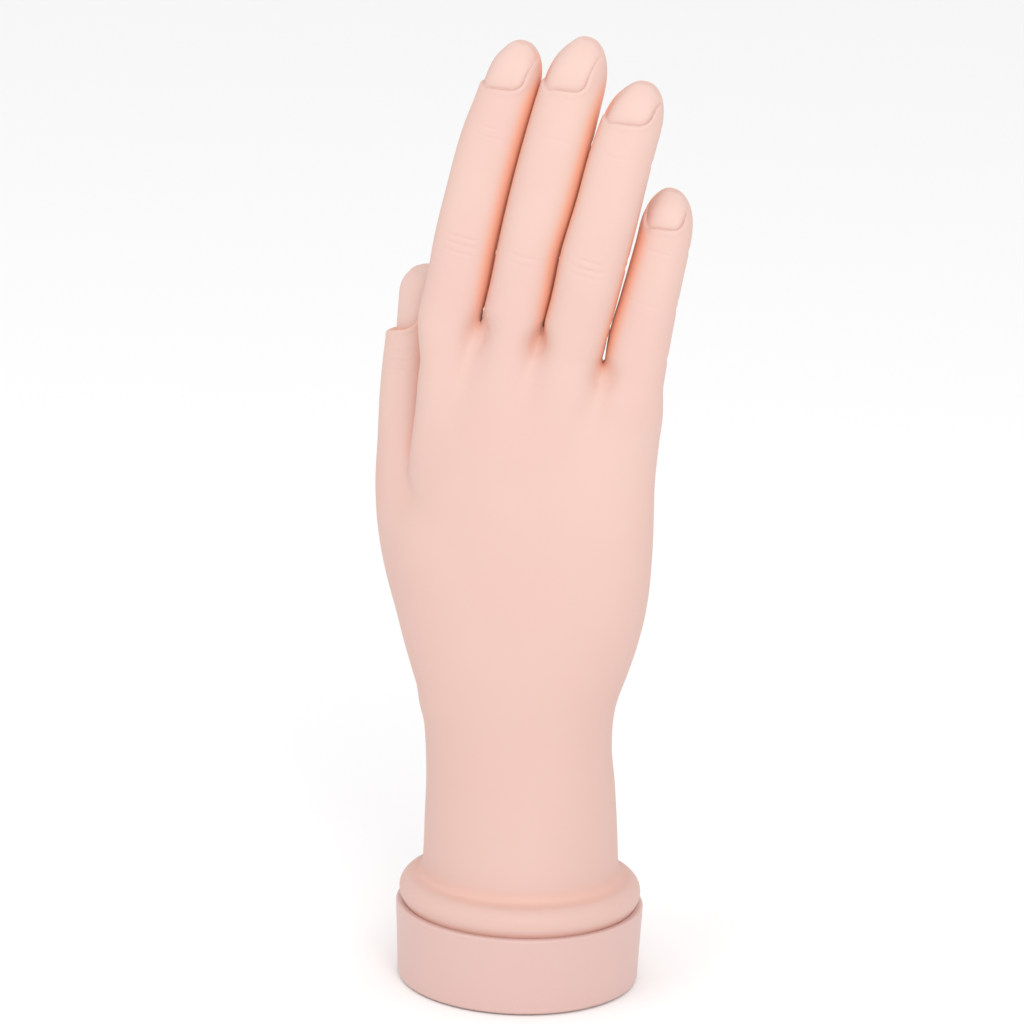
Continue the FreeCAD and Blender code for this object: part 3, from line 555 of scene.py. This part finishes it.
def surface_net(values, low, pitch):
    """Vertices and quads where a sampled field crosses zero."""
    shape = np.array(values.shape)
    cells = shape - 1
    sums = np.zeros((int(np.prod(cells)), 4))
    quads = []

    def cell_id(index):
        return (index[:, 0] * cells[1] + index[:, 1]) * cells[2] + index[:, 2]

    for axis in range(3):
        first = [slice(None)] * 3
        second = [slice(None)] * 3
        first[axis] = slice(0, -1)
        second[axis] = slice(1, None)
        a = values[tuple(first)]
        b = values[tuple(second)]
        where = np.argwhere((a < 0) != (b < 0))
        va = a[tuple(where.T)]
        vb = b[tuple(where.T)]
        crossing = where.astype(float)
        crossing[:, axis] += va / (va - vb)
        other = [(axis + 1) % 3, (axis + 2) % 3]
        ring = []
        inner = np.ones(len(where), bool)
        for du, dv in ((0, 0), (-1, 0), (-1, -1), (0, -1)):
            index = where.copy()
            index[:, other[0]] += du
            index[:, other[1]] += dv
            fits = ((index >= 0) & (index < cells)).all(axis=1)
            inner &= fits
            ids = np.where(fits, cell_id(index), -1)
            ring.append(ids)
            for column in range(3):
                sums[:, column] += np.bincount(ids[fits], crossing[fits, column], len(sums))
            sums[:, 3] += np.bincount(ids[fits], minlength=len(sums))
        ring = np.stack(ring, axis=1)[inner]
        flip = (va > vb)[inner]
        ring[flip] = ring[flip][:, ::-1]
        quads.append(ring)
    used = sums[:, 3] > 0
    renumber = np.cumsum(used) - 1
    vertices = sums[used, :3] / sums[used, 3:4] * pitch + low
    return vertices, renumber[np.concatenate(quads)]


def sample_grid(field, low, high, pitch):
    """Samples a field on a grid: coarsely first, then finely only near the surface."""
    counts = np.ceil((np.array(high) - low) / (COARSE * pitch)).astype(int) * COARSE
    lines = [start + pitch * np.arange(count) for start, count in zip(low, counts)]
    middles = [line.reshape(-1, COARSE).mean(axis=1) for line in lines]
    coarse = field(np.stack(np.meshgrid(*middles, indexing="ij"), axis=-1).reshape(-1, 3))
    values = coarse.reshape(counts // COARSE)
    for axis in range(3):
        values = np.repeat(values, COARSE, axis=axis)
    near = np.argwhere(np.abs(values) < 1.5 * COARSE * pitch)
    for start in range(0, len(near), 200000):
        some = near[start:start + 200000]
        values[tuple(some.T)] = field(some * pitch + low)
    return values


def settle(field, vertices, pitch):
    """Moves vertices onto the exact surface."""
    for _ in range(3):
        slope = gradient(field, vertices, 0.06)
        step = -field(vertices)[:, None] * slope / np.maximum((slope**2).sum(1), 0.2)[:, None]
        length = np.linalg.norm(step, axis=1, keepdims=True)
        vertices = vertices + step * np.minimum(1.0, 0.4 * pitch / np.maximum(length, 1e-9))
    return vertices


def trim(mesh_data, cuts):
    """Cuts a mesh by planes: (point, outward normal, test for the faces it may cut)."""
    vertices, quads = mesh_data
    mesh = bmesh.new()
    made = [mesh.verts.new(co) for co in vertices]
    for quad in quads:
        mesh.faces.new([made[i] for i in quad])
    for point, normal, applies in cuts:
        if applies is None:
            faces = list(mesh.faces)
        else:
            centres = np.array([face.calc_center_median() for face in mesh.faces])
            chosen = applies(centres)
            faces = [face for face, keep in zip(mesh.faces, chosen) if keep]
        edges = {edge for face in faces for edge in face.edges}
        verts = {vert for face in faces for vert in face.verts}
        bmesh.ops.bisect_plane(
            mesh, geom=list(verts) + list(edges) + faces, plane_co=Vector(point),
            plane_no=Vector(normal), clear_outer=True, dist=1e-5)
    mesh.verts.ensure_lookup_table()
    mesh.verts.index_update()
    out = np.array([vert.co for vert in mesh.verts])
    faces = [[vert.index for vert in face.verts] for face in mesh.faces]
    mesh.free()
    return out, faces


def keep_largest(vertices, faces):
    """Drops loose crumbs."""
    parent = np.arange(len(vertices))

    def find(i):
        while parent[i] != i:
            parent[i] = parent[parent[i]]
            i = parent[i]
        return i

    for face in faces:
        root = find(face[0])
        for other in face[1:]:
            parent[find(other)] = root
    roots = np.array([find(i) for i in range(len(vertices))])
    names, sizes = np.unique(roots, return_counts=True)
    best = names[sizes.argmax()]
    keep = roots == best
    renumber = np.cumsum(keep) - 1
    return vertices[keep], [[int(renumber[i]) for i in face] for face in faces if keep[face[0]]]


# painted orange shade in closed-in places: distances out from the surface at which to look for
# other skin, and the weight of each
PAINTED_SHADE_STEPS = ((1.5, 0.12), (3.0, 0.24), (5.2, 0.32), (8.0, 0.32))
PAINTED_SHADE_ROUNDS = 12
# painted orange shade in the groove where the bead meets the cup: its height, width and strength
GROOVE_HEIGHT = 22.0
GROOVE_WIDTH = 1.6
GROOVE_PAINTED_SHADE = 0.45
# how much of the painted orange shade is cleared round the nails
NAIL_SHADE_CLEARING = 0.7


def painted_shade_amount(vertices, normals):
    """How closed-in each place is: it sets the orange shade painted there, in place of shade and of light
    bounced round in soft vinyl.
    """
    total = np.zeros(len(vertices))
    for distance, weight in PAINTED_SHADE_STEPS:
        clear = skin_field(vertices + normals * distance)
        total += weight * np.clip(1.0 - clear / distance, 0.0, 1.0)
    return total


def smoothed(values, mesh, rounds):
    """Averages values over neighbouring vertices."""
    edges = np.empty(len(mesh.edges) * 2, np.int64)
    mesh.edges.foreach_get("vertices", edges)
    first, second = edges[0::2], edges[1::2]
    count = np.bincount(edges, minlength=len(values)) + 1
    for _ in range(rounds):
        total = np.bincount(first, values[second], len(values))
        total += np.bincount(second, values[first], len(values))
        values = (total + values) / count
    return values


def skin_object(name, vertices, faces, field, digit=None):
    """A skin piece in metres, with exact normals, and its rest place, nail and painted orange shade stored.
    """
    normals = gradient(field, vertices, 0.05)
    normals /= np.maximum(np.linalg.norm(normals, axis=1, keepdims=True), 1e-6)
    mesh = bpy.data.meshes.new(name)
    mesh.from_pydata((vertices * MM).tolist(), [], faces)
    mesh.polygons.foreach_set("use_smooth", [True] * len(mesh.polygons))
    mesh.normals_split_custom_set_from_vertices(normals.tolist())
    rest = mesh.attributes.new("rest_mm", "FLOAT_VECTOR", "POINT")
    rest.data.foreach_set("vector", vertices.astype(np.float32).ravel())
    nail = mesh.attributes.new("nail", "FLOAT", "POINT")
    mask = nail_share(digit, vertices, NAIL_BED_FADE) if digit else np.zeros(len(vertices))
    nail.data.foreach_set("value", mask.astype(np.float32))
    # painted orange shade, from how closed-in each place is
    share = painted_shade_amount(vertices, normals)
    # the painted shade is partly cleared round the nails
    if digit in FINGERS:
        share = share * (1.0 - NAIL_SHADE_CLEARING * nail_share(digit, vertices, NAIL_SHADE_CLEARING_FADE))
    # the painted shade is halved about the line where the fingers part
    above_web = vertices[:, 2] - lookup(WEB_CURVE, vertices[:, 0])
    share = share * (0.5 + 0.5 * fade(above_web, -2.0, 14.0) + 0.5 * fade(-above_web, 14.0, 26.0))
    # painted orange shade in the groove between the bead and the cup
    share = share + GROOVE_PAINTED_SHADE * np.exp(-(((vertices[:, 2] - GROOVE_HEIGHT) / GROOVE_WIDTH) ** 2))
    painted_warm_shade = mesh.attributes.new("painted_warm_shade", "FLOAT", "POINT")
    painted_warm_shade.data.foreach_set("value", smoothed(share, mesh, PAINTED_SHADE_ROUNDS).astype(np.float32))
    piece = bpy.data.objects.new(name, mesh)
    bpy.context.scene.collection.objects.link(piece)
    return piece


# grid steps, and the boxes round the palm and round each digit
COARSE = 4
BODY_PITCH = 0.95
WEB_PITCH = 0.5
DIGIT_PITCH = 0.5
TIP_PITCH = 0.36
BODY_BOX = ((-50.0, -36.0), (42.0, 38.0))
DIGIT_BOX = ((-13.0, -13.0), (13.0, 18.0))
SPARE_CELLS = 2.5

# heights at which the palm is cut
BODY_BOTTOM = 9.0
WEB_BOTTOM = 147.0
WEB_TOP = 204.0


CUT_REACH = 2.5


def digit_cut(digit):
    """The cut that takes one digit off the palm: only faces of that digit are touched."""
    root, axes = FRAMES[digit]
    seam = SEAMS[digit][0]

    def applies(centres):
        distances = [digit_field(other, centres) for other in DIGITS]
        if digit == "thumb":
            distances.append(skin_field(centres, only="no_thumb"))
        mine = np.stack(distances).argmin(axis=0) == DIGITS.index(digit)
        return mine & (local(centres, digit)[:, 2] > seam - CUT_REACH)

    return root + axes[2] * seam, axes[2], applies


def body_field(points):
    return skin_field(points, only="body")


def palm_piece(name, bottom, top, pitch):
    """A slice of the palm between two heights, without the digits."""
    spare = SPARE_CELLS * pitch
    low = np.array([*BODY_BOX[0], bottom - spare])
    high = np.array([*BODY_BOX[1], top + spare])
    net = surface_net(sample_grid(body_field, low, high, pitch), low, pitch)
    vertices = settle(body_field, net[0], pitch)
    cuts = [digit_cut(digit) for digit in DIGITS]
    cuts.append(((0, 0, bottom), (0, 0, -1), None))
    cuts.append(((0, 0, top), (0, 0, 1), None))
    vertices, faces = trim((vertices, net[1]), cuts)
    vertices, faces = keep_largest(vertices, faces)
    return skin_object(name, vertices, faces, body_field)


def digit_piece(digit, number):
    """One length of a digit's skin, between two seams."""
    seams = SEAMS[digit]
    is_last = number == len(seams) - 1
    end = DIGIT_STATIONS[digit][-1][0]
    bottom = seams[number]
    top = end + 1.0 if is_last else seams[number + 1]
    pitch = TIP_PITCH if is_last else DIGIT_PITCH
    field = lambda points: skin_field(world(points, digit), only=digit)
    spare = SPARE_CELLS * pitch
    low = np.array([*DIGIT_BOX[0], bottom - spare])
    high = np.array([*DIGIT_BOX[1], top + (0.0 if is_last else spare)])
    net = surface_net(sample_grid(field, low, high, pitch), low, pitch)
    vertices = settle(field, net[0], pitch)
    cuts = [((0, 0, bottom), (0, 0, -1), None)]
    if not is_last:
        cuts.append(((0, 0, top), (0, 0, 1), None))
    vertices, faces = trim((vertices, net[1]), cuts)
    vertices, faces = keep_largest(vertices, faces)
    names = ("root", "mid", "tip") if digit != "thumb" else ("root", "tip")
    name = "%s_%s_skin_surface" % (digit, names[number])
    piece_field = lambda points: skin_field(points, only=digit)
    return skin_object(name, world(vertices, digit), faces, piece_field, digit if is_last else None)


# ---------------------------------------------------------------- materials

class Nodes:
    """A short way to write a node material."""

    def __init__(self, name):
        self.material = bpy.data.materials.new(name)
        self.material.use_nodes = True
        self.tree = self.material.node_tree
        self.shader = self.tree.nodes["Principled BSDF"]

    def add(self, kind, inputs=None, **settings):
        node = self.tree.nodes.new(kind)
        for key, value in settings.items():
            setattr(node, key, value)
        for key, value in (inputs or {}).items():
            if isinstance(value, bpy.types.NodeSocket):
                self.tree.links.new(value, node.inputs[key])
            else:
                node.inputs[key].default_value = value
        return node

    def link(self, source, target):
        self.tree.links.new(source, target)


SKIN_PALE = (0.700, 0.482, 0.418, 1.0)
SKIN_PINK = (0.695, 0.458, 0.405, 1.0)
# painted shade: the colour the skin darkens to towards the wrist
SKIN_PAINTED_LOW_SHADE = (0.655, 0.430, 0.375, 1.0)
# painted orange shade: the colour mixed in where the skin is closed in
SKIN_PAINTED_WARM_SHADE = (0.84, 0.41, 0.275, 1.0)
NAIL_PALE = (0.71, 0.495, 0.436, 1.0)
GRAIN_SHADE = 0.95
GRAIN_ROUGHNESS = 0.04


def mixed(n, factor, first, second):
    """A colour mixed from two; its sockets are found by place, because their names repeat."""
    node = n.add("ShaderNodeMix", data_type="RGBA")
    for place, value in ((0, factor), (6, first), (7, second)):
        if isinstance(value, bpy.types.NodeSocket):
            n.link(value, node.inputs[place])
        else:
            node.inputs[place].default_value = value
    return node.outputs[2]


def ranged(n, value, low, high, to_low, to_high):
    node = n.add("ShaderNodeMapRange", {
        "Value": value, "From Min": low, "From Max": high, "To Min": to_low, "To Max": to_high})
    return node.outputs["Result"]


def skin_material():
    """Soft vinyl: pale and pink in broad patches, with painted shade darker low down and painted orange
    shade where it is closed in.
    """
    n = Nodes("soft_vinyl_skin")
    rest = n.add("ShaderNodeAttribute", attribute_name="rest_mm").outputs["Vector"]
    nail = n.add("ShaderNodeAttribute", attribute_name="nail").outputs["Fac"]
    painted_warm_shade = n.add("ShaderNodeAttribute", attribute_name="painted_warm_shade").outputs["Fac"]
    broad = n.add("ShaderNodeTexNoise", {"Vector": rest, "Scale": 0.03, "Detail": 2.0}).outputs["Fac"]
    tint = mixed(n, ranged(n, broad, 0.35, 0.65, 0.0, 1.0), SKIN_PALE, SKIN_PINK)
    height = n.add("ShaderNodeSeparateXYZ", {"Vector": rest}).outputs["Z"]
    # painted shade, darker towards the wrist
    tint = mixed(n, ranged(n, height, 60.0, 175.0, 0.8, 0.0), tint, SKIN_PAINTED_LOW_SHADE)
    bed = mixed(n, nail, tint, NAIL_PALE)
    # painted orange shade in closed-in places, kept off the nail bed
    shade = n.add("ShaderNodeMath", {0: 1.0, 1: nail}, operation="SUBTRACT").outputs[0]
    shade = n.add("ShaderNodeMath", {0: shade, 1: painted_warm_shade}, operation="MULTIPLY").outputs[0]
    shaded_colour = mixed(n, ranged(n, shade, 0.12, 0.85, 0.0, 0.85), bed, SKIN_PAINTED_WARM_SHADE)
    n.link(shaded_colour, n.shader.inputs["Base Color"])
    n.shader.inputs["Specular IOR Level"].default_value = 0.35
    pores = n.add("ShaderNodeTexNoise", {
        "Vector": rest, "Scale": 2.6, "Detail": 3.0, "Roughness": 0.6}).outputs["Fac"]
    n.link(ranged(n, pores, 0.3, 0.7, 0.48, 0.58), n.shader.inputs["Roughness"])
    bump = n.add("ShaderNodeBump", {"Height": pores, "Strength": 0.06, "Distance": 0.0002})
    n.link(bump.outputs["Normal"], n.shader.inputs["Normal"])
    return n.material


def plain_material(name, color, roughness, grain=2.0, bump_strength=0.1, metallic=0.0):
    """Moulded or turned stock: a faint grain in its colour, roughness and relief."""
    n = Nodes(name)
    where = n.add("ShaderNodeTexCoord").outputs["Object"]
    noise = n.add("ShaderNodeTexNoise", {"Vector": where, "Scale": grain / MM, "Detail": 3.0}).outputs["Fac"]
    dark = tuple(c * GRAIN_SHADE for c in color)
    n.link(mixed(n, noise, dark + (1.0,), color + (1.0,)), n.shader.inputs["Base Color"])
    rough = ranged(n, noise, 0.3, 0.7, roughness - GRAIN_ROUGHNESS, roughness + GRAIN_ROUGHNESS)
    n.link(rough, n.shader.inputs["Roughness"])
    n.shader.inputs["Metallic"].default_value = metallic
    n.shader.inputs["Specular IOR Level"].default_value = 0.4
    bump = n.add("ShaderNodeBump", {"Height": noise, "Strength": bump_strength, "Distance": 0.0001})
    n.link(bump.outputs["Normal"], n.shader.inputs["Normal"])
    return n.material


# ---------------------------------------------------------------- assembly


def finish_piece(piece, skin):
    piece.data.materials.clear()
    piece.data.materials.append(skin)


def add_palm(skin):
    palm = palm_piece("palm_skin_surface", BODY_BOTTOM, WEB_BOTTOM, BODY_PITCH)
    webs = palm_piece("web_skin_surface", WEB_BOTTOM, WEB_TOP, WEB_PITCH)
    for piece in (palm, webs):
        finish_piece(piece, skin)
        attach(piece, "hand")
    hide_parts("hand_skin")


def joint_chain(digit):
    """The hinges of a digit from its root: name, body below and body above."""
    if digit == "thumb":
        return (("root", "hand", "thumb_proximal"), ("tip", "thumb_proximal", "thumb_distal"))
    return (
        ("root", "hand", digit + "_proximal"),
        ("mid", digit + "_proximal", digit + "_middle"),
        ("tip", digit + "_middle", digit + "_distal"),
    )


def add_digit(digit, skin):
    for number, (joint, lower, upper) in enumerate(joint_chain(digit)):
        piece = digit_piece(digit, number)
        finish_piece(piece, skin)
        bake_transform(piece)
        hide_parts(upper + "_skin")


def dress_nodes():
    """Gives each carried-over node the material of its slot."""
    materials = {
        "base_plastic": plain_material("moulded_base", (0.66, 0.445, 0.405), 0.42),
        "core_plastic": plain_material("moulded_core", (0.70, 0.68, 0.62), 0.5),
        "bone_plastic": plain_material("moulded_bone", (0.80, 0.78, 0.72), 0.45),
        "washer_nylon": plain_material("washer_nylon", (0.85, 0.85, 0.82), 0.4),
        "steel": plain_material("turned_steel", (0.60, 0.60, 0.62), 0.3, metallic=1.0),
        "pad_rubber": plain_material(
            "foam_rubber", (0.12, 0.12, 0.12), 0.85, grain=1.2, bump_strength=0.6),
    }
    slots = {entry["node"]: entry["material_slot"] for entry in frame["record"]["subparts"]}
    for node, thing in frame["nodes"].items():
        if slots[node] in materials:
            thing.data.materials.clear()
            thing.data.materials.append(materials[slots[node]])


# ---------------------------------------------------------------- floor, light and camera

FLOOR_SIZE = 4.0
FLOOR_WHITE = (0.96, 0.96, 0.96, 1.0)
WORLD_STRENGTH = 0.95
LIGHT_TARGET = (0.0, 0.0, 0.15)

CAMERA_AZIMUTH = radians(10.0)
CAMERA_HEIGHT = radians(19.5)
CAMERA_ROLL = radians(1.73)
CAMERA_DISTANCE = 1.1
CAMERA_LENS = 135.7
CAMERA_CENTRE = (0.0, 0.0, 0.02)
CAMERA_AIM = (-0.00535, -0.00094, 0.13505)


def add_floor():
    mesh = bpy.data.meshes.new("floor")
    corners = [(x * FLOOR_SIZE, y * FLOOR_SIZE, 0.0) for x, y in ((-1, -1), (1, -1), (1, 1), (-1, 1))]
    mesh.from_pydata(corners, [], [(0, 1, 2, 3)])
    floor = bpy.data.objects.new("floor", mesh)
    bpy.context.scene.collection.objects.link(floor)
    n = Nodes("white_floor")
    n.shader.inputs["Base Color"].default_value = FLOOR_WHITE
    n.shader.inputs["Roughness"].default_value = 0.9
    n.shader.inputs["Specular IOR Level"].default_value = 0.1
    mesh.materials.append(n.material)


def add_light(name, place, size, power):
    data = bpy.data.lights.new(name, "AREA")
    data.shape = "DISK"
    data.size = size
    data.energy = power
    lamp = bpy.data.objects.new(name, data)
    lamp.location = place
    facing = (Vector(LIGHT_TARGET) - Vector(place)).to_track_quat("-Z", "Y")
    lamp.rotation_euler = facing.to_euler()
    bpy.context.scene.collection.objects.link(lamp)


def add_world():
    scene_world = bpy.data.worlds.new("studio")
    scene_world.use_nodes = True
    background = scene_world.node_tree.nodes["Background"]
    background.inputs["Color"].default_value = (1.0, 1.0, 1.0, 1.0)
    background.inputs["Strength"].default_value = WORLD_STRENGTH
    bpy.context.scene.world = scene_world


def add_camera():
    data = bpy.data.cameras.new("camera")
    data.lens = CAMERA_LENS
    data.sensor_width = 36.0
    data.clip_start = 0.05
    data.clip_end = 20.0
    camera = bpy.data.objects.new("camera", data)
    level = cos(CAMERA_HEIGHT)
    away = Vector((sin(CAMERA_AZIMUTH) * level, -cos(CAMERA_AZIMUTH) * level, sin(CAMERA_HEIGHT)))
    place = Vector(CAMERA_CENTRE) + away * CAMERA_DISTANCE
    turn = (Vector(CAMERA_AIM) - place).to_track_quat("-Z", "Y").to_matrix().to_4x4()
    roll = Matrix.Rotation(CAMERA_ROLL, 4, "Z")
    camera.matrix_world = Matrix.Translation(place) @ turn @ roll
    bpy.context.scene.collection.objects.link(camera)
    bpy.context.scene.camera = camera


# ---------------------------------------------------------------- the scene

skin_vinyl = skin_material()
add_palm(skin_vinyl)
for digit_name in DIGITS:
    add_digit(digit_name, skin_vinyl)
dress_nodes()

add_floor()
add_light("key", (0.55, -1.35, 1.0), 1.0, 9.0)
add_light("fill", (-1.0, -1.1, 1.3), 1.2, 3.5)
add_world()
add_camera()
bpy.context.scene.view_settings.view_transform = "Standard"
